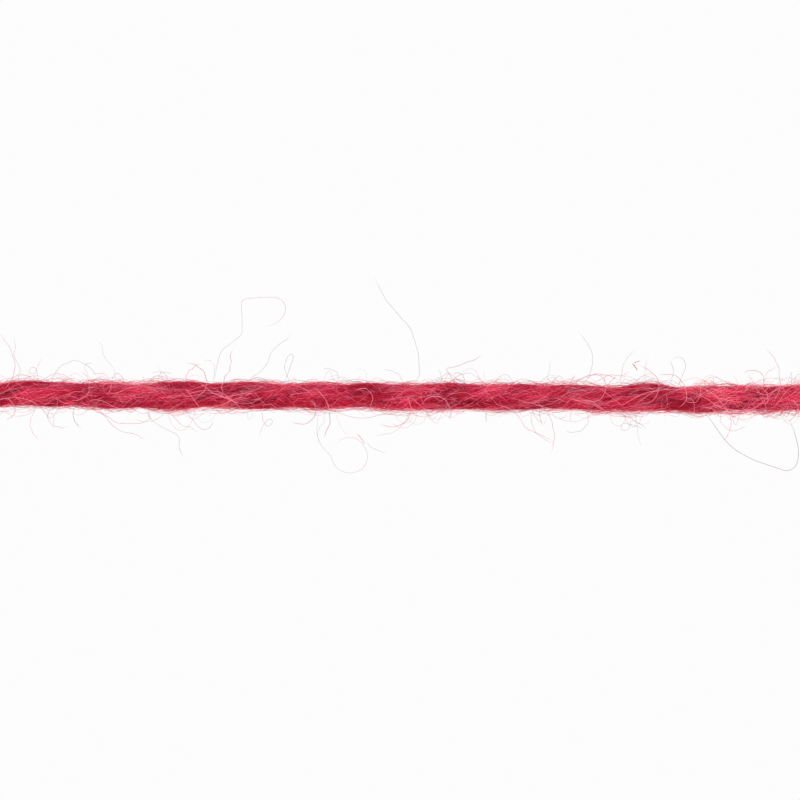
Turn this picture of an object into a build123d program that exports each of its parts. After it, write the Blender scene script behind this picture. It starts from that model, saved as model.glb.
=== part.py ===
"""A taut length of twisted red wool cord: four plies laid up left-handed, an overhand knot
at each end to hold the lay, and the four plies fanned out behind each knot.

The cord runs along X and lies on the plane z = 0. The origin is on that plane, under the
middle of the taut length. Lengths are in millimetres and angles in degrees. The pieces of
the left end are those of the right end, turned half round the Z axis.
"""

import math
import os

from build123d import *

# Strand
strand_diameter = 2.4  # over the laid-up plies
lay_length = 23.4  # in which a ply goes once round the strand
taut_length = 72.0  # straight strand, from knot to knot
ply_count = 4
ply_gap = 0.02  # clearance between neighbouring plies

# The strand's centreline through a knot, from the end of the taut length outwards, as
# corners in strand diameters. It passes under itself, over, under, over, under and over.
knot_route = [
    (0.0, 0.0, 0.5),
    (1.3, 0.0, 0.5),
    (2.2, -0.2, 1.5),
    (3.3, -0.4, 1.9),
    (4.5, -0.2, 1.6),
    (5.2, 0.9, 0.6),
    (4.6, 2.2, 0.5),
    (3.1, 2.6, 0.7),
    (1.5, 2.1, 1.3),
    (0.6, 0.8, 1.8),
    (0.7, -0.9, 1.9),
    (1.5, -2.1, 1.1),
    (2.6, -1.9, 0.5),
    (3.1, -0.5, 0.5),
    (3.4, 0.9, 0.6),
    (4.2, 1.6, 1.4),
    (5.4, 1.3, 2.0),
    (6.4, 0.4, 1.3),
    (7.2, 0.0, 0.5),
    (8.1, 0.0, 0.5),
]
bend_share = 0.45  # of the shorter run beside a corner, taken up by its arc

# Tails: the two low plies spread first, then the two high ones come down between them
tail_length = 9.0  # along the tail's two runs
low_tail_straight = 1.0  # out of the knot, before the tail turns to its side
low_tail_spread = 30.0
high_tail_straight = 2.6
high_tail_spread = 9.0
floor_clearance = 0.01  # under a tail's tip


def neighbour_distance(ring_radius):
    """The smallest distance between the centrelines of two neighbouring plies."""
    nearest = math.inf
    for i in range(-500, 501):
        along = i * lay_length / 2000
        turn = math.tau * (1 / ply_count + along / lay_length)
        across = 2 * ring_radius * math.sin(turn / 2)
        nearest = min(nearest, math.hypot(across, along))
    return nearest


def lay_up():
    """The plies' own radius, and the radius of the ring that their centrelines lie on."""
    thin, thick = 0.0, strand_diameter / 2
    for _ in range(50):
        ply_radius = (thin + thick) / 2
        ring_radius = strand_diameter / 2 - ply_radius
        if neighbour_distance(ring_radius) - ply_gap > 2 * ply_radius:
            thin = ply_radius
        else:
            thick = ply_radius
    return ply_radius, ring_radius


ply_radius, ring_radius = lay_up()
strand_radius = strand_diameter / 2


def rounded_path(points):
    """Straight runs through the points, with each corner's arc as large as its runs allow.
    Returns the path, its length and the radii of its arcs."""
    radii = []
    for before, corner, after in zip(points, points[1:], points[2:]):
        shorter = min((corner - before).length, (after - corner).length)
        turn = math.radians((corner - before).get_angle(after - corner))
        radii.append(bend_share * shorter / math.tan(turn / 2))
    path = FilletPolyline(*points, radius=radii)
    return path, path.length, radii


def tube(points, radius, name):
    """A round tube along the points, compared with its section times its length."""
    path, length, radii = rounded_path(points)
    section = Plane(origin=path @ 0, z_dir=path % 0) * Circle(radius)
    solid = sweep(section, path=path)
    expected = math.pi * radius**2 * length
    print(
        f"{name}: length {length:.2f}, volume {solid.volume:.2f} of {expected:.2f},",
        f"smallest bend {min(radii) / (2 * radius):.2f} diameters",
    )
    return solid


def make_ply(index):
    """One ply of the taut length: a left-handed helical rod, cut square at both ends."""
    spare = strand_diameter  # at each end, for the square cut
    rise = taut_length + 2 * spare
    helix = Helix(pitch=lay_length, height=rise, radius=ring_radius, lefthand=True)
    section = Plane(origin=helix @ 0, z_dir=helix % 0) * Circle(ply_radius)
    rod = sweep(section, path=helix, is_frenet=True)
    rod = Rot(0, 0, 360 * index / ply_count) * rod
    rod = Pos(-rise / 2, 0, strand_radius) * (Rot(0, 90, 0) * rod)
    window = Box(taut_length, 2 * strand_diameter, 2 * strand_diameter)
    return rod & (Pos(0, 0, strand_radius) * window)


def make_knot():
    """The right knot: the strand's round outer shape along the route through the knot."""
    start = Vector(taut_length / 2, 0, 0)
    points = [start + Vector(corner) * strand_diameter for corner in knot_route]
    return tube(points, strand_radius, "knot")


def make_tail(index):
    """One ply behind the right knot: straight out of its face, then down to the floor and
    off to its own side."""
    angle = math.tau * (index + 0.5) / ply_count
    side = math.copysign(1, math.cos(angle))
    low = math.sin(angle) < 0
    straight = low_tail_straight if low else high_tail_straight
    spread = math.radians(low_tail_spread if low else high_tail_spread)
    start = Vector(
        taut_length / 2 + knot_route[-1][0] * strand_diameter,
        ring_radius * math.cos(angle),
        strand_radius + ring_radius * math.sin(angle),
    )
    bend = start + Vector(straight, 0, 0)
    drop = bend.Z - ply_radius - floor_clearance
    flat_run = math.sqrt((tail_length - straight) ** 2 - drop**2)
    away = Vector(flat_run * math.cos(spread), side * flat_run * math.sin(spread), -drop)
    return tube([start, bend, bend + away], ply_radius, f"tail {index + 1}")


os.makedirs("parts", exist_ok=True)
for index in range(ply_count):
    export_step(make_ply(index), f"parts/ply_{index + 1}.step")
for end, turned in (("right", 0), ("left", 180)):
    export_step(Rot(0, 0, turned) * make_knot(), f"parts/{end}_knot.step")
    for index in range(ply_count):
        tail = Rot(0, 0, turned) * make_tail(index)
        export_step(tail, f"parts/{end}_tail_{index + 1}.step")
print(f"ply radius {ply_radius:.4f}, ring radius {ring_radius:.4f}")
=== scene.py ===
"""A taut length of hairy red wool cord on a luminous white table, seen from straight above.

Lengths in this script are millimetres, and meshes are scaled to metres as they are made.
"""

import cmath
import math

import bpy
import numpy as np
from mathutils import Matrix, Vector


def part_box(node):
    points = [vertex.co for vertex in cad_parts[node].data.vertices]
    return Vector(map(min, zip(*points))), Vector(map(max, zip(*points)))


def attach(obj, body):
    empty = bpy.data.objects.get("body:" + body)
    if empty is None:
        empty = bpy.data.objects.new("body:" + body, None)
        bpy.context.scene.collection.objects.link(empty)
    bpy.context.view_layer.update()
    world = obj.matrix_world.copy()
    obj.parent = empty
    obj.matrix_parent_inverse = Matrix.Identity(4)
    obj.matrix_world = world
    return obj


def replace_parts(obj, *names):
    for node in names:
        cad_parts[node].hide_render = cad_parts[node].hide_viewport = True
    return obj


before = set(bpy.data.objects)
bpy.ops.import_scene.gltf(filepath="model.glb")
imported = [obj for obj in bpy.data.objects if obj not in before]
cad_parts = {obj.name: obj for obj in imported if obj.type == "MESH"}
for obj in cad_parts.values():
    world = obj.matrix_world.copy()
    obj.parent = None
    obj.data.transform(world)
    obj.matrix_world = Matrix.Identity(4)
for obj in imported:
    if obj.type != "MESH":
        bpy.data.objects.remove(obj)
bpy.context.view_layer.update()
random = np.random.default_rng(41)
MM = 0.001

# ---- the cord's own sizes ----
STRAND_DIAMETER = 2.4
LAY_LENGTH = 23.4
PLY_COUNT = 4
LAY_TURN = -math.tau / LAY_LENGTH  # left-handed, in radians per millimetre
RING_RADIUS = 0.55  # of the plies' centrelines, drawn in by the twist
PLY_RADIUS = 0.48  # of a ply's dense body, without its halo
SINGLES_TWIST = 0.12  # radians per millimetre, against the lay

# The centreline through a knot from the end of the taut length outwards, as corners in
# strand diameters: under itself, over, under, over, under and over.
KNOT_ROUTE = [
    (0.0, 0.0, 0.5),
    (1.3, 0.0, 0.5),
    (2.2, -0.2, 1.5),
    (3.3, -0.4, 1.9),
    (4.5, -0.2, 1.6),
    (5.2, 0.9, 0.6),
    (4.6, 2.2, 0.5),
    (3.1, 2.6, 0.7),
    (1.5, 2.1, 1.3),
    (0.6, 0.8, 1.8),
    (0.7, -0.9, 1.9),
    (1.5, -2.1, 1.1),
    (2.6, -1.9, 0.5),
    (3.1, -0.5, 0.5),
    (3.4, 0.9, 0.6),
    (4.2, 1.6, 1.4),
    (5.4, 1.3, 2.0),
    (6.4, 0.4, 1.3),
    (7.2, 0.0, 0.5),
    (8.1, 0.0, 0.5),
]
STRAIGHT_POINT = 6 * STRAND_DIAMETER  # inside each end of the taut length


# ---- camera ----
VIEW_WIDTH = 68.8
AXIS_ABOVE_CENTRE = 0.27
STRAND_DROP = 0.00563  # per millimetre to the right, from the camera's roll
LENS, SENSOR = 150.0, 36.0


def make_camera():
    data = bpy.data.cameras.new("camera")
    data.lens, data.sensor_width = LENS, SENSOR
    camera = bpy.data.objects.new("camera", data)
    bpy.context.collection.objects.link(camera)
    axis_height = STRAND_DIAMETER / 2
    distance = VIEW_WIDTH * LENS / SENSOR
    camera.location = (0, -AXIS_ABOVE_CENTRE * MM, (axis_height + distance) * MM)
    camera.rotation_euler = (0, 0, STRAND_DROP)
    bpy.context.scene.camera = camera


make_camera()


# ---- the strand's centreline and frame ----
def route_corners():
    """The whole centreline's corners, from the left knot's outer end to the right one's."""
    taut_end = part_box("ply_1")[1][0] / MM
    knot = np.array(KNOT_ROUTE) * STRAND_DIAMETER
    right = knot + (taut_end, 0, 0)
    inner = np.array([[taut_end - STRAIGHT_POINT, 0, STRAND_DIAMETER / 2]])
    half = np.vstack([inner, right])
    return np.vstack([(half * (-1, -1, 1))[::-1], half]), taut_end


def spline_points(corners):
    """Points along the smooth line that the corners pull."""
    data = bpy.data.curves.new("centreline", "CURVE")
    data.dimensions = "3D"
    data.resolution_u = 24
    spline = data.splines.new("NURBS")
    spline.points.add(len(corners) - 1)
    for point, corner in zip(spline.points, corners):
        point.co = (*corner, 1)
    spline.order_u = 3
    spline.use_endpoint_u = True
    curve = bpy.data.objects.new("centreline", data)
    bpy.context.collection.objects.link(curve)
    evaluated = curve.evaluated_get(bpy.context.evaluated_depsgraph_get())
    mesh = bpy.data.meshes.new_from_object(evaluated)
    points = np.array([v.co[:] for v in mesh.vertices])
    bpy.data.meshes.remove(mesh)
    bpy.data.objects.remove(curve)
    bpy.data.curves.remove(data)
    return points


def unit(vectors):
    return vectors / np.maximum(np.linalg.norm(vectors, axis=-1, keepdims=True), 1e-12)


class Centreline:
    """The strand's line, measured along itself from the middle of the taut length, with a
    frame that doesn't turn about it."""

    STEP = 0.1

    def __init__(self, corners):
        points = spline_points(corners)
        along = np.append(0, np.cumsum(np.linalg.norm(np.diff(points, axis=0), axis=1)))
        self.length = along[-1]
        self.along = np.linspace(0, self.length, int(self.length / self.STEP) + 1)
        self.points = self.resampled(along, points)
        self.tangents = unit(np.gradient(self.points, axis=0))
        self.sides = np.zeros_like(self.points)
        side = np.array([0.0, 1.0, 0.0])
        for i, tangent in enumerate(self.tangents):
            side = unit(side - (side @ tangent) * tangent)
            self.sides[i] = side
        self.uprights = np.cross(self.tangents, self.sides)
        self.along -= self.length / 2

    def resampled(self, along, values):
        return np.stack([np.interp(self.along, along, v) for v in values.T], axis=-1)

    def at(self, s):
        """The point, side and upright directions at distances s."""
        found = []
        for values in (self.points, self.sides, self.uprights):
            found.append(np.stack([np.interp(s, self.along, v) for v in values.T], -1))
        return found


corners, taut_end = route_corners()
strand = Centreline(corners)


def smooth_noise(s, wavelength, seed):
    """A smooth random wave along s, of about unit height, the same wherever it is asked for."""
    waves = np.random.default_rng(seed)
    total = np.zeros_like(s)
    for _ in range(5):
        total += np.sin(s * math.tau / (wavelength * waves.uniform(0.6, 1.8)) + waves.uniform(0, math.tau))
    return total / 1.6


FIRST_PLY_ANGLE = -30.1 * -LAY_TURN  # puts a ply at the strand's upper edge there


def ply_centre(ply, s):
    """A ply's centre, and the directions away from and round the strand's axis there."""
    point, side, upright = strand.at(s)
    angle = LAY_TURN * s - FIRST_PLY_ANGLE + math.tau * ply / PLY_COUNT
    angle = angle + 0.12 * smooth_noise(s, 31, 7)
    cos, sin = np.cos(angle)[..., None], np.sin(angle)[..., None]
    away = cos * side + sin * upright
    round_axis = cos * upright - sin * side
    ring = RING_RADIUS * (1 + 0.06 * smooth_noise(s, 17, 20 + ply))[..., None]
    wobble = 0.05 * (smooth_noise(s, 9, 11)[..., None] * side + smooth_noise(s, 9, 12)[..., None] * upright)
    return point + wobble + ring * away, away, round_axis


def ply_thickness(ply, s):
    """How a ply's radius varies: thick and thin places of the spinning."""
    slow = 0.07 * smooth_noise(s, 24, 50 + ply)
    quick = 0.04 * smooth_noise(s, 6, 60 + ply)
    return PLY_RADIUS * (1 + slow + quick)


# ---- meshes of many tubes ----
def tube_mesh(name, lines, radii, sides, tints=None, uv=None):
    """One mesh of closed tubes. lines is (tubes, points, 3); radii fits (tubes, points, sides);
    tints gives each tube's material index."""
    tubes, count, _ = lines.shape
    tangents = unit(np.gradient(lines, axis=1))
    normal = np.zeros((tubes, 3))
    normal[np.arange(tubes), np.abs(tangents[:, 0]).argmin(axis=1)] = 1
    normals = np.empty_like(lines)
    for i in range(count):
        tangent = tangents[:, i]
        normal = unit(normal - (normal * tangent).sum(-1, keepdims=True) * tangent)
        normals[:, i] = normal
    binormals = np.cross(tangents, normals)
    turn = np.arange(sides) * math.tau / sides
    spokes = normals[:, :, None] * np.cos(turn)[:, None] + binormals[:, :, None] * np.sin(turn)[:, None]
    radii = np.broadcast_to(radii, (tubes, count, sides))
    vertices = (lines[:, :, None] + radii[..., None] * spokes).reshape(-1, 3)

    ring = np.arange(sides)
    first = np.arange(tubes)[:, None] * count + np.arange(count - 1)
    a = first[..., None] * sides + ring
    b = first[..., None] * sides + (ring + 1) % sides
    quads = np.stack([a, b, b + sides, a + sides], -1).reshape(-1, 4)
    start = np.arange(tubes)[:, None] * count * sides
    caps = np.concatenate([start + ring[::-1], start + (count - 1) * sides + ring])
    mesh = bpy.data.meshes.new(name)
    mesh.vertices.add(len(vertices))
    mesh.vertices.foreach_set("co", (vertices * MM).astype(np.float32).ravel())
    loops = np.concatenate([quads.ravel(), caps.ravel()])
    mesh.loops.add(len(loops))
    mesh.loops.foreach_set("vertex_index", loops.astype(np.int32))
    starts = np.concatenate([np.arange(len(quads)) * 4, quads.size + np.arange(len(caps)) * sides])
    mesh.polygons.add(len(starts))
    mesh.polygons.foreach_set("loop_start", starts.astype(np.int32))
    smooth = np.arange(len(starts)) < len(quads)
    mesh.polygons.foreach_set("use_smooth", smooth)
    if tints is not None:
        per_quad = np.repeat(tints, (count - 1) * sides)
        mesh.polygons.foreach_set("material_index", np.concatenate([per_quad, tints, tints]).astype(np.int32))
    if uv is not None:
        around = np.concatenate([np.arange(sides), [sides]]) / sides
        i, j = np.meshgrid(np.arange(count - 1), ring, indexing="ij")
        u = np.stack([uv[i], uv[i], uv[i + 1], uv[i + 1]], -1)
        v = np.stack([around[j], around[j + 1], around[j + 1], around[j]], -1)
        flat = np.zeros((len(loops), 2), np.float32)
        flat[: quads.size] = np.stack([u.ravel(), v.ravel()], -1)
        mesh.uv_layers.new(name="lay").data.foreach_set("uv", flat.ravel())
    mesh.update(calc_edges=True)
    mesh.validate()
    piece = bpy.data.objects.new(name, mesh)
    bpy.context.collection.objects.link(piece)
    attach(piece, "root")
    return piece


# ---- materials ----
class Wire:
    """A socket. Arithmetic on it adds Math nodes."""

    def __init__(self, finish, socket):
        self.finish, self.socket = finish, socket

    def math(self, operation, first, second):
        return self.finish.add("Math", {"operation": operation}, {0: first, 1: second})

    def __add__(self, other):
        return self.math("ADD", self, other)

    def __rsub__(self, other):
        return self.math("SUBTRACT", other, self)

    def __mul__(self, other):
        return self.math("MULTIPLY", self, other)


class Finish:
    """A material with one Principled shader. Constants go on its own sockets."""

    def __init__(self, name, constants):
        self.material = bpy.data.materials.new(name)
        self.material.use_nodes = True
        self.tree = self.material.node_tree
        self.shader = self.tree.nodes["Principled BSDF"]
        for socket, value in constants.items():
            self.set(self.shader.inputs[socket], value)

    def set(self, socket, value):
        if isinstance(value, Wire):
            self.tree.links.new(value.socket, socket)
        else:
            socket.default_value = value

    def add(self, kind, settings, values, output=0):
        node = self.tree.nodes.new("ShaderNode" + kind)
        for name, value in settings.items():
            if name == "stops":
                for stop, (place, tone) in zip(self.stops(node, len(value)), value):
                    stop.position, stop.color = place, tone
            else:
                setattr(node, name, value)
        for socket, value in values.items():
            self.set(node.inputs[socket], value)
        return Wire(self, node.outputs[output])

    def stops(self, node, count):
        while len(node.color_ramp.elements) < count:
            node.color_ramp.elements.new(0.5)
        return node.color_ramp.elements

    def feed(self, socket, value):
        self.set(self.shader.inputs[socket], value)


def colour(red, green, blue):
    """A screen colour, from 0 to 255, as the shader takes it."""
    channels = []
    for value in (red, green, blue):
        value /= 255
        channels.append(value / 12.92 if value <= 0.04045 else ((value + 0.055) / 1.055) ** 2.4)
    return (*channels, 1.0)


WOOL = {
    "Roughness": 0.9,
    "Specular IOR Level": 0.05,
    "Sheen Weight": 0.7,
    "Sheen Roughness": 0.4,
    "Sheen Tint": colour(255, 120, 140),
}


def ply_wool():
    """Dense wool of a ply's body: fine streaks along the fibres, with painted shade between them."""
    deep_light = {"Subsurface Weight": 1.0, "Subsurface Radius": (1.0, 0.3, 0.4), "Subsurface Scale": 0.0003}
    finish = Finish("ply_wool", {**WOOL, **deep_light})
    place = finish.add("UVMap", {"uv_map": "lay"}, {})
    apart = finish.add("SeparateXYZ", {}, {0: place}, 0)
    round_ply = finish.add("SeparateXYZ", {}, {0: place}, 1)
    slanted = round_ply * 2.8 + apart * 0.05
    streak_place = finish.add("CombineXYZ", {}, {0: apart * 0.5, 1: slanted * 9.0, 2: 0.0})
    fine_grain = {"Vector": streak_place, "Scale": 2.2, "Detail": 5.0, "Roughness": 0.65}
    streaks = finish.add("TexNoise", {}, fine_grain)
    on_piece = finish.add("TexCoord", {}, {}, 3)
    patches = finish.add("TexNoise", {}, {"Vector": on_piece, "Scale": 420.0, "Detail": 2.0})
    mixed = streaks * 0.75 + patches * 0.25
    # The darker stops are painted shade between the fibres.
    stops = [
        (0.32, colour(147, 17, 39)),
        (0.50, colour(150, 18, 40)),
        (0.70, colour(154, 20, 43)),
    ]
    finish.feed("Base Color", finish.add("ValToRGB", {"stops": stops}, {0: mixed}))
    finish.feed("Roughness", 0.98 - streaks * 0.25)
    bump = finish.add("Bump", {}, {"Height": streaks, "Strength": 0.2, "Distance": 0.00005})
    finish.feed("Normal", bump)
    return finish.material


# A single fibre lets light through it.
SEE_THROUGH = {
    "Subsurface Weight": 1.0,
    "Subsurface Radius": (1.0, 0.35, 0.45),
    "Subsurface Scale": 0.00004,
}


def fibre_wool(name, tone, **extra):
    return Finish(name, {**WOOL, "Base Color": tone, **extra}).material


# The rose and pale tints are the red wool painted lighter: painted light shining through thin fibres.
FIBRE_TINTS = [
    fibre_wool("fibre_deep", colour(146, 15, 38), **SEE_THROUGH),
    fibre_wool("fibre_crimson", colour(150, 16, 40), **SEE_THROUGH),
    fibre_wool("fibre_red", colour(188, 32, 56), **SEE_THROUGH),
    fibre_wool("fibre_rose", colour(255, 88, 116), **SEE_THROUGH),
    fibre_wool("fibre_pale", colour(255, 152, 170), **SEE_THROUGH),
    fibre_wool("hair_rose", colour(206, 124, 138)),
    fibre_wool("hair_grey", colour(160, 116, 124)),
]
DEEP, CRIMSON, RED, ROSE, PALE, HAIR_ROSE, HAIR_GREY = range(7)


# ---- plies ----
def make_ply(ply, material):
    s = np.arange(strand.along[0], strand.along[-1] + 0.1, 0.2)
    centre, _, _ = ply_centre(ply, s)
    sides = 20
    turn = np.arange(sides) * math.tau / sides
    radius = ply_thickness(ply, s)[:, None] * (1 + 0.03 * np.sin(3 * turn + s[:, None] * 0.9))
    piece = tube_mesh(f"ply_{ply + 1}_wool", centre[None], radius[None], sides, uv=s)
    piece.data.materials.append(material)
    return piece


wool = ply_wool()
plies = [make_ply(ply, wool) for ply in range(PLY_COUNT)]
for ply, piece in enumerate(plies):
    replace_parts(piece, f"ply_{ply + 1}", "left_knot", "right_knot")


# ---- fibres ----
def wander(count, points, height, waves):
    """Small smooth random waves along each of count fibres."""
    t = np.linspace(0, 1, points)
    total = np.zeros((count, points))
    for _ in range(3):
        pace = random.uniform(0.4, waves, (count, 1))
        total += np.sin(math.tau * (pace * t + random.random((count, 1)))) / 1.7
    return height * total


def taper(count, points, thick):
    """Radii that are thick along most of a fibre and close to nothing at its ends."""
    t = np.linspace(0, 1, points)
    ends = np.clip(np.minimum(t, 1 - t) / 0.12, 0.15, 1) ** 0.7
    return (thick * ends)[..., None]


LOOSE_PLACES = 80  # seed of where each ply's wool is loose


def clumped(count, s_range, ply):
    """Places along the plies, oftener where the wool is loose, so that it lies in tufts."""
    tries = random.uniform(*s_range, (3, count))
    looseness = np.select([ply == k for k in range(PLY_COUNT)],
                          [smooth_noise(tries, 7, LOOSE_PLACES + k) for k in range(PLY_COUNT)])
    best = (looseness + random.normal(0, 0.6, tries.shape)).argmax(axis=0)
    return tries[best, np.arange(count)][:, None]


LOWEST = 0.03  # of a fibre above the table
FACE_HALF = 1.75  # radians of a ply's face, either way, that fibres lie on


def lay_fibres(count, s_range, points, length, lift, thick, slant=0.0):
    """Fibres that lie along the plies' outer faces. lift is how far off the face they
    stand at their middle, on average."""
    t = np.linspace(-0.5, 0.5, points)
    reach = random.uniform(*length, (count, 1))
    ply = random.integers(0, PLY_COUNT, count)
    middle = clumped(count, s_range, ply)
    s = np.clip(middle + reach * t, strand.along[0], strand.along[-1])
    place = random.uniform(-FACE_HALF, FACE_HALF, (count, 1))
    turn = place + SINGLES_TWIST * reach * t + wander(count, points, 0.12, 2.5)
    turn = turn + slant * random.normal(0, 1, (count, 1)) * t
    lines = np.empty((count, points, 3))
    for k in range(PLY_COUNT):
        mine = ply == k
        centre, away, round_axis = ply_centre(k, s[mine])
        angle = turn[mine][..., None]
        out = np.cos(angle) * away + np.sin(angle) * round_axis
        face = ply_thickness(k, s[mine])[..., None]
        lines[mine] = centre + face * out
    axis, _, _ = strand.at(s)
    outward = unit(lines - axis)
    arch = np.cos(math.pi * t) ** 1.3
    height = lift * random.gamma(2, 0.5, (count, 1)) * arch + wander(count, points, 0.02, 4)
    lines += np.maximum(height, 0.0)[..., None] * outward
    lines[..., 2] = np.maximum(lines[..., 2], LOWEST)
    return lines, taper(count, points, random.uniform(*thick, (count, 1)))


def tint(count, weights):
    return random.choice(len(FIBRE_TINTS), count, p=weights)


def add_tints(piece):
    for material in FIBRE_TINTS:
        piece.data.materials.append(material)
    return piece


TAUT = (-taut_end - 1, taut_end + 1)
LEFT = (strand.along[0], -taut_end)
RIGHT = (taut_end, strand.along[-1])
TANGLED = (26.5, 34.4)  # where the wool is roughed up
HALO_RADIUS = 1.3


def joined(*made):
    """Several makings of fibres as one, all of as many points."""
    return tuple(np.concatenate(arrays) for arrays in zip(*made))


def add_fibres(name, made, weights):
    """Loose fibres are too fine to shade what lies under them."""
    lines, radii = made
    piece = tube_mesh(name, lines, radii, 3, tint(len(lines), weights))
    piece.visible_shadow = False
    add_tints(piece)


# Shares of each tint. PINK, LOOSE and LIGHT lean to the rose and pale tints, so the fringe, halo and crossing
# fibres carry painted light shining through them.
DENSE = (0.10, 0.82, 0.08, 0.0, 0.0, 0, 0)
LOOSE = (0.0, 0.24, 0.42, 0.26, 0.08, 0, 0)
PINK = (0.0, 0.04, 0.22, 0.44, 0.30, 0, 0)
BLEND = (0.10, 0.34, 0.32, 0.18, 0.06, 0, 0)
LIGHT = (0.0, 0.0, 0.08, 0.47, 0.45, 0, 0)
FREE = (0.0, 0.0, 0.10, 0.30, 0.25, 0.25, 0.10)


def turned(vectors, axes, angles):
    """Vectors turned about their axes, row by row."""
    cos, sin = np.cos(angles)[:, None], np.sin(angles)[:, None]
    along = (vectors * axes).sum(-1, keepdims=True)
    return vectors * cos + np.cross(axes, vectors) * sin + axes * along * (1 - cos)


def curls(count, s_range, points, length, rise, bend, thick, homing=0.0):
    """Fibres that start in a ply's face and curl freely. rise is how steeply they leave,
    bend the turn in radians per millimetre, and homing how strongly they come back."""
    s = random.uniform(*s_range, count)
    angle = random.uniform(0, math.tau, count)
    axis, side, upright = strand.at(s)
    outward = np.cos(angle)[:, None] * side + np.sin(angle)[:, None] * upright
    tangent = unit(np.cross(side, upright))
    sense = random.choice((-1.0, 1.0), count)[:, None]
    steep = random.uniform(*rise, count)[:, None]
    across = np.cross(outward, tangent) * random.normal(0, 0.35, (count, 1))
    heading = unit(tangent * sense * (1 - steep) + outward * steep + across)
    spin = unit(random.normal(0, 1, (count, 3)) * (0.6, 0.6, 1.0))
    rate = random.uniform(*bend, count)
    reach = random.uniform(*length, count)
    step = (reach / (points - 1))[:, None]
    place = axis + outward * random.uniform(0.78, 1.0, (count, 1))
    lines = np.empty((count, points, 3))
    for i in range(points):
        lines[:, i] = place
        place = place + heading * step
        jitter = rate * step[:, 0] * random.normal(1, 0.5, count)
        heading = turned(heading, spin, jitter)
        spin = unit(spin + 0.25 * random.normal(0, 1, (count, 3)))
        if homing:
            home = axis - place
            home -= (home * tangent).sum(-1, keepdims=True) * tangent
            heading = unit(heading + homing * step * home)
    lines[..., 2] = np.maximum(lines[..., 2], LOWEST)
    return lines, taper(count, points, random.uniform(*thick, (count, 1)))


def crossing_fibres(count, s_range, points, length, lift, thick):
    """Fibres that lie loosely over the strand, across its lay."""
    t = np.linspace(-0.5, 0.5, points)
    reach = random.uniform(*length, (count, 1))
    slant = random.uniform(-0.8, 0.8, (count, 1))
    s = random.uniform(*s_range, (count, 1)) + reach * np.cos(slant) * t + wander(count, points, 0.25, 1.2)
    angle = random.uniform(0, math.tau, (count, 1)) + reach * np.sin(slant) * t
    angle = angle + wander(count, points, 0.25, 1.2)
    axis, side, upright = strand.at(s)
    outward = np.cos(angle)[..., None] * side + np.sin(angle)[..., None] * upright
    away = 1.03 + random.uniform(*lift, (count, 1)) + wander(count, points, 0.03, 2)
    lines = axis + away[..., None] * outward
    lines[..., 2] = np.maximum(lines[..., 2], LOWEST)
    return lines, taper(count, points, random.uniform(*thick, (count, 1)))


# ---- long hairs ----
def arc_walk(root, heading, runs, points):
    """A line of arcs on the flat, at even distances. Each run is a length and how many
    degrees it turns to the left."""
    steps = 16
    places = [complex(*root)]
    direction = math.radians(heading)
    for length, turn in runs:
        for _ in range(steps):
            direction += math.radians(turn) / steps
            places.append(places[-1] + cmath.rect(length / steps, direction))
    places = np.array(places)
    along = np.append(0, np.cumsum(np.abs(np.diff(places))))
    even = np.linspace(0, along[-1], points)
    return np.stack([np.interp(even, along, places.real), np.interp(even, along, places.imag)], -1)


FINE, PLAIN, STOUT, THICK = 0.010, 0.013, 0.019, 0.025

# The ways a long hair bends: runs of a length and how many degrees it turns to the left.
BOW = [(1, 15), (1, 25), (1, 25), (1, 15)]
HOOK = [(2, 5), (1, 70), (1, 90)]
ARCH = [(1, 60), (1, 60), (1, 45)]
WAVE = [(1, 45), (1.5, -50), (1.5, 50), (1, -40)]
LOOP = [(1.5, 20), (0.8, 150), (0.8, 150), (1.5, 20)]
SPIKE = [(1.5, 10)]


def bent(gesture, size=1.0, hand=1):
    """A gesture at a size, turning to the left (1) or to the right (-1)."""
    return [(length * size, turn * hand) for length, turn in gesture]


def stray_hairs(count, gestures, sizes, tints, radii, over=False):
    """Hairs anywhere along the taut length: off one of its sides, or lying over it."""
    made = []
    for _ in range(count):
        side = random.choice((-1, 1))
        root = (random.uniform(*TAUT), random.uniform(-0.8, 0.8) if over else side)
        heading = random.uniform(-60, 60) if over else side * random.uniform(35, 145)
        gesture = gestures[random.integers(len(gestures))]
        runs = bent(gesture, random.uniform(*sizes), random.choice((-1, 1)))
        made.append((random.choice(tints), random.choice(radii), root, heading, runs))
    return made


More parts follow.
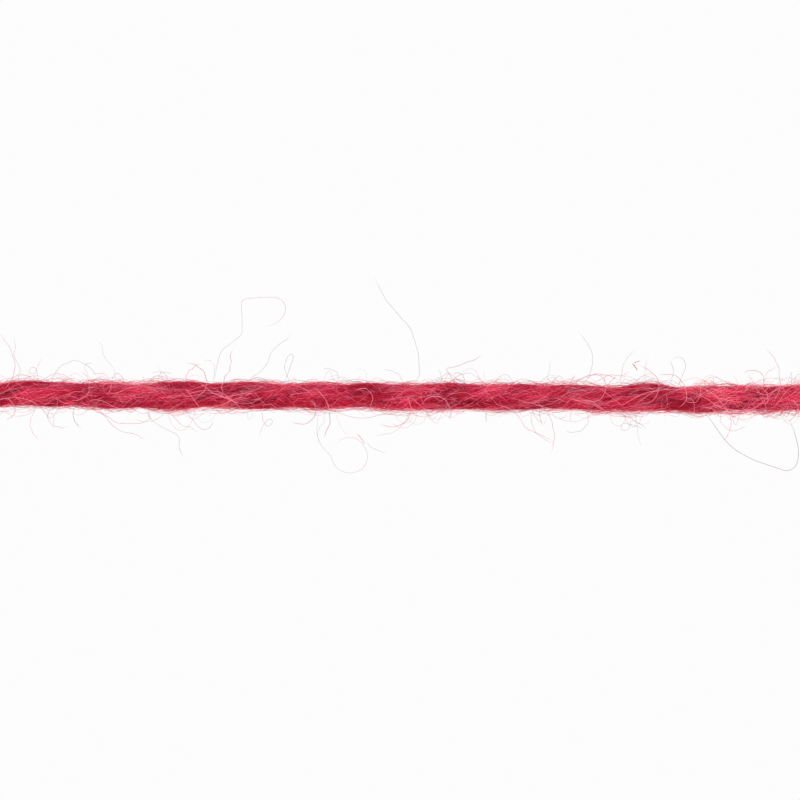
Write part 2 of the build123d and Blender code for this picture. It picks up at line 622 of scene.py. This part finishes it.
# The hairs that stand out: tint, radius, root, heading and runs.
PLACED_HAIRS = [
    (HAIR_GREY, PLAIN, (-30, 1), 75, [(2, -35), (1.5, -60), (2, -40)]),
    # a tall one with a curl over at its top
    (HAIR_ROSE, PLAIN, (-16, 1), 80, [(2.5, 0), (1, -45), (1.5, 0), (0.5, 55), (2.5, 0), (0.5, -85),
                                      (2.5, -5), (1.5, -95), (2.5, -80)]),
    # a hairpin with a waist
    (HAIR_GREY, PLAIN, (-10, 1), 70, [(2, 0), (0.6, 20), (0.4, 140), (0.8, 20), (0.6, 40), (2, 0)]),
    # a tall one that leans back
    (HAIR_GREY, PLAIN, (1, 1), 30, [(1.5, 60), (3, 20), (2, 25), (4, -20)]),
    (HAIR_ROSE, STOUT, (5, 1), 130, [(1.5, 0), (0.5, -120), (3, 20)]),
    (HAIR_GREY, FINE, (19, 1), 100, [(2.5, -40), (1, -40)]),
    # a free fleck
    (RED, THICK, (20, 3), -60, [(0.7, 0)]),
    (RED, THICK, (20, 3), 20, [(0.7, 0)]),
    (HAIR_ROSE, PLAIN, (-22, -1), -70, [(1.5, 30), (2, 20), (1, -80), (1.5, 60)]),
    # one that hangs down into a ring, and its branch
    (HAIR_ROSE, PLAIN, (-7, -1), -95, [(2, 5), (2, 50), (1, -40), (8, 300)]),
    (HAIR_ROSE, FINE, (-3, -4), -30, [(2, 10)]),
    (RED, STOUT, (-3, -4), 130, [(1, 0)]),
    (HAIR_ROSE, PLAIN, (-6, -1), -30, [(2, 15), (2, 30), (2, -20), (1.5, 40)]),
    # a long low one that comes back up
    (HAIR_GREY, STOUT, (26, -1), -45, [(2, -15), (3, 30), (4, 15), (1.5, 90), (2, 30), (2, 20)]),
]
LOOSE_HAIRS = [
    *PLACED_HAIRS,
    *stray_hairs(30, (BOW, HOOK, ARCH, WAVE, LOOP), (0.6, 1.3), (HAIR_GREY, HAIR_ROSE), (FINE, PLAIN)),
    *stray_hairs(26, (ARCH, SPIKE, BOW), (0.5, 1.0), (ROSE, HAIR_ROSE), (PLAIN, STOUT)),
    *stray_hairs(30, (BOW, WAVE, ARCH), (0.7, 1.6), (PALE,), (STOUT, THICK), over=True),
]


def loose_hairs():
    """Long hairs, each of them over the strand's near side where it crosses it."""
    count, points = len(LOOSE_HAIRS), 64
    flat = np.stack([arc_walk(*hair[2:], points) for hair in LOOSE_HAIRS])
    over = np.sqrt(np.maximum(HALO_RADIUS**2 - flat[..., 1] ** 2, 0))
    height = STRAND_DIAMETER / 2 + over + 0.5 * np.abs(wander(count, points, 1.0, 0.8))
    lines = np.concatenate([flat, height[..., None]], axis=-1)
    for axis in (0, 1):
        lines[..., axis] += wander(count, points, 0.04, 5)
    thick = np.array([[hair[1]] for hair in LOOSE_HAIRS])
    return lines, taper(count, points, thick)


# ---- frayed tails behind the knots ----
TAIL_LENGTH = 9.0
LOW_STRAIGHT, LOW_SPREAD = 1.0, 30
HIGH_STRAIGHT, HIGH_SPREAD = 2.6, 9
LOW_BEND_HEIGHT, HIGH_BEND_HEIGHT = 0.7, 1.9
BEND_APART = 0.8  # of a tail's bend from the middle
STOUT_IN_TAIL, FINE_IN_TAIL = 90, 620
FRAY_START = 0.62  # along a tail, as a share


def tail_line(ply, index, points):
    """A tail's line from inside the right knot, in its ply, to its tip on the table."""
    corner = math.tau * (index + 0.5) / PLY_COUNT
    side = math.copysign(1, math.cos(corner))
    low = math.sin(corner) < 0
    straight, spread = (LOW_STRAIGHT, LOW_SPREAD) if low else (HIGH_STRAIGHT, HIGH_SPREAD)
    inside, _, _ = ply_centre(ply, strand.along[-1] - np.array([1.6, 0.8, 0.0]))
    x_end = inside[-1, 0]
    bend_place = np.array([x_end + straight, BEND_APART * side, LOW_BEND_HEIGHT if low else HIGH_BEND_HEIGHT])
    fan = math.radians(spread)
    run = TAIL_LENGTH - straight
    tip = bend_place + (run * math.cos(fan), side * run * math.sin(fan), 0)
    tip[2] = PLY_RADIUS
    middle = (bend_place + tip) / 2 + (0, 0.25 * side, -0.25 * (not low))
    corners = np.vstack([inside, bend_place, middle, tip])
    line = spline_points(corners)
    along = np.append(0, np.cumsum(np.linalg.norm(np.diff(line, axis=0), axis=1)))
    even = np.linspace(0, along[-1], points)
    return np.stack([np.interp(even, along, v) for v in line.T], -1), along[-1]


def make_tail(end, ply, index):
    """A bundle of stout and fine fibres that opens out at its tip. The left end is the right
    one turned half a turn."""
    stout, fine, points = STOUT_IN_TAIL, FINE_IN_TAIL, 20
    count = stout + fine
    line, length = tail_line(ply, index, 100)
    reach = 1.06 - 0.42 * random.random((count, 1)) ** 1.6
    start = np.where(np.arange(count)[:, None] < stout, 0, random.uniform(0, 0.5, (count, 1)))
    t = start + (reach - start) * np.linspace(0, 1, points)
    axis = np.stack([np.interp(t, np.linspace(0, 1, 100), v) for v in line.T], -1)
    tangents = unit(np.gradient(line, axis=0))
    forward = unit(np.stack([np.interp(t, np.linspace(0, 1, 100), v) for v in tangents.T], -1))
    side = unit(np.cross(forward, (0.0, 0.0, 1.0)))
    upright = np.cross(side, forward)
    depth = np.sqrt(random.random((count, 1)))
    depth[:stout] *= 0.86
    angle = random.uniform(0, math.tau, (count, 1)) + 0.1 * length * t + wander(count, points, 0.15, 2)
    fray = np.clip((t - FRAY_START) / 0.4, 0, None) ** 1.6
    away = depth * PLY_RADIUS * (1 + 1.5 * fray * random.uniform(0.2, 2.2, (count, 1)))
    away = away + np.abs(wander(count, points, 0.02, 3)) * (depth > 0.8)
    lines = axis + away[..., None] * (np.cos(angle)[..., None] * side + np.sin(angle)[..., None] * upright)
    lines[..., 1] += fray * random.normal(0, 0.5, (count, 1))
    lines[..., 2] += fray * np.abs(random.normal(0, 0.3, (count, 1)))
    lines[..., 2] = np.maximum(lines[..., 2], LOWEST)
    thick = np.where(np.arange(count) < stout, 0.06, random.uniform(0.010, 0.018, count))[:, None]
    if end == "left":
        lines = lines * (-1, -1, 1)
    tints = np.where(np.arange(count) < stout, RED, tint(count, BLEND))
    piece = tube_mesh(f"{end}_tail_{index + 1}_wool", lines, taper(count, points, thick), 4, tints)
    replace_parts(add_tints(piece), f"{end}_tail_{index + 1}")
    return piece


def tails_of(end):
    """The plies come out of a knot in the order of the tails, wherever the lay has got to."""
    _, away, _ = ply_centre(0, strand.along[-1:])
    first = round((math.atan2(away[0, 2], away[0, 1]) - math.pi / PLY_COUNT) / (math.tau / PLY_COUNT))
    return [make_tail(end, (index - first) % PLY_COUNT, index) for index in range(PLY_COUNT)]


# ---- all the fibres ----
BODY = (2.5, 8.0)
for part in (1, 2):
    lying = lay_fibres(2900, TAUT, 11, BODY, 0.02, (0.009, 0.015), 0.5)
    add_fibres(f"lying_fibres_{part}", lying, DENSE)
    halo = lay_fibres(2300, TAUT, 12, (1.5, 4.5), 0.25, (0.008, 0.013), 2.0)
    add_fibres(f"halo_fibres_{part}", halo, LOOSE)
for part in (1, 2):
    fringe = curls(2900, TAUT, 12, (0.8, 2.8), (0.1, 0.38), (0.3, 1.8), (0.007, 0.012), 1.6)
    add_fibres(f"fringe_{part}", fringe, PINK)
crossing = crossing_fibres(130, TAUT, 16, (2.5, 6.0), (0.05, 0.25), (0.014, 0.024))
crossing_tangle = crossing_fibres(60, TANGLED, 16, (1.5, 5.0), (0.1, 0.35), (0.016, 0.026))
add_fibres("crossing_fibres", joined(crossing, crossing_tangle), LIGHT)
fuzz = curls(200, TAUT, 24, (2.0, 8.0), (0.3, 0.9), (0.1, 0.9), (0.006, 0.011), 0.5)
tangle = curls(170, TANGLED, 24, (2.0, 6.0), (0.3, 0.8), (0.5, 2.4), (0.008, 0.014), 0.9)
add_fibres("fuzz", joined(fuzz, tangle), FREE)
for end, s_range in (("left", LEFT), ("right", RIGHT)):
    dense = lay_fibres(2200, s_range, 9, BODY, 0.05, (0.012, 0.020), 0.8)
    loose = lay_fibres(1500, s_range, 9, (1.5, 4.5), 0.22, (0.010, 0.016), 2.2)
    add_fibres(f"{end}_knot_fibres", joined(dense, loose), BLEND)
    fringe = curls(2200, s_range, 13, (0.8, 3.4), (0.1, 0.4), (0.3, 1.6), (0.008, 0.013), 1.3)
    wild = curls(200, s_range, 13, (2.0, 6.0), (0.3, 0.9), (0.1, 0.9), (0.007, 0.012), 0.5)
    add_fibres(f"{end}_knot_fringe", joined(fringe, wild), PINK)
hairs = tube_mesh("loose_hairs", *loose_hairs(), 3, np.array([hair[0] for hair in LOOSE_HAIRS]))
add_tints(hairs)
tails = [*tails_of("left"), *tails_of("right")]

bpy.context.scene.view_settings.view_transform = "Standard"


# ---- table and light ----
CEILING_LIGHT = 0.28
SIDE_LIGHT, SIDE_ELEVATION = 4.2, 9
SOFTBOX_ANGLE = 50
TABLE_GLOW = 0.98


def make_table():
    bpy.ops.mesh.primitive_plane_add(size=4, location=(0, 0, -0.00005))
    table = bpy.context.object
    table.name = "table"
    black = {"Base Color": (0, 0, 0, 1), "Roughness": 1.0, "Specular IOR Level": 0.0}
    finish = Finish("luminous_white", black)
    finish.feed("Emission Color", (1, 1, 1, 1))
    finish.feed("Emission Strength", TABLE_GLOW)
    table.data.materials.append(finish.material)


def make_studio():
    """A pale dim ceiling, and a long low softbox on each side of the cord."""
    world = bpy.data.worlds.new("studio")
    world.use_nodes = True
    background = world.node_tree.nodes["Background"]
    background.inputs["Color"].default_value = (1, 1, 1, 1)
    background.inputs["Strength"].default_value = CEILING_LIGHT
    bpy.context.scene.world = world
    for name, side in (("far_softbox", 1), ("near_softbox", -1)):
        light = bpy.data.lights.new(name, "SUN")
        light.energy = SIDE_LIGHT
        light.angle = math.radians(SOFTBOX_ANGLE)
        lamp = bpy.data.objects.new(name, light)
        lamp.rotation_euler = (-side * math.radians(90 - SIDE_ELEVATION), 0, 0)
        bpy.context.collection.objects.link(lamp)


make_table()
make_studio()
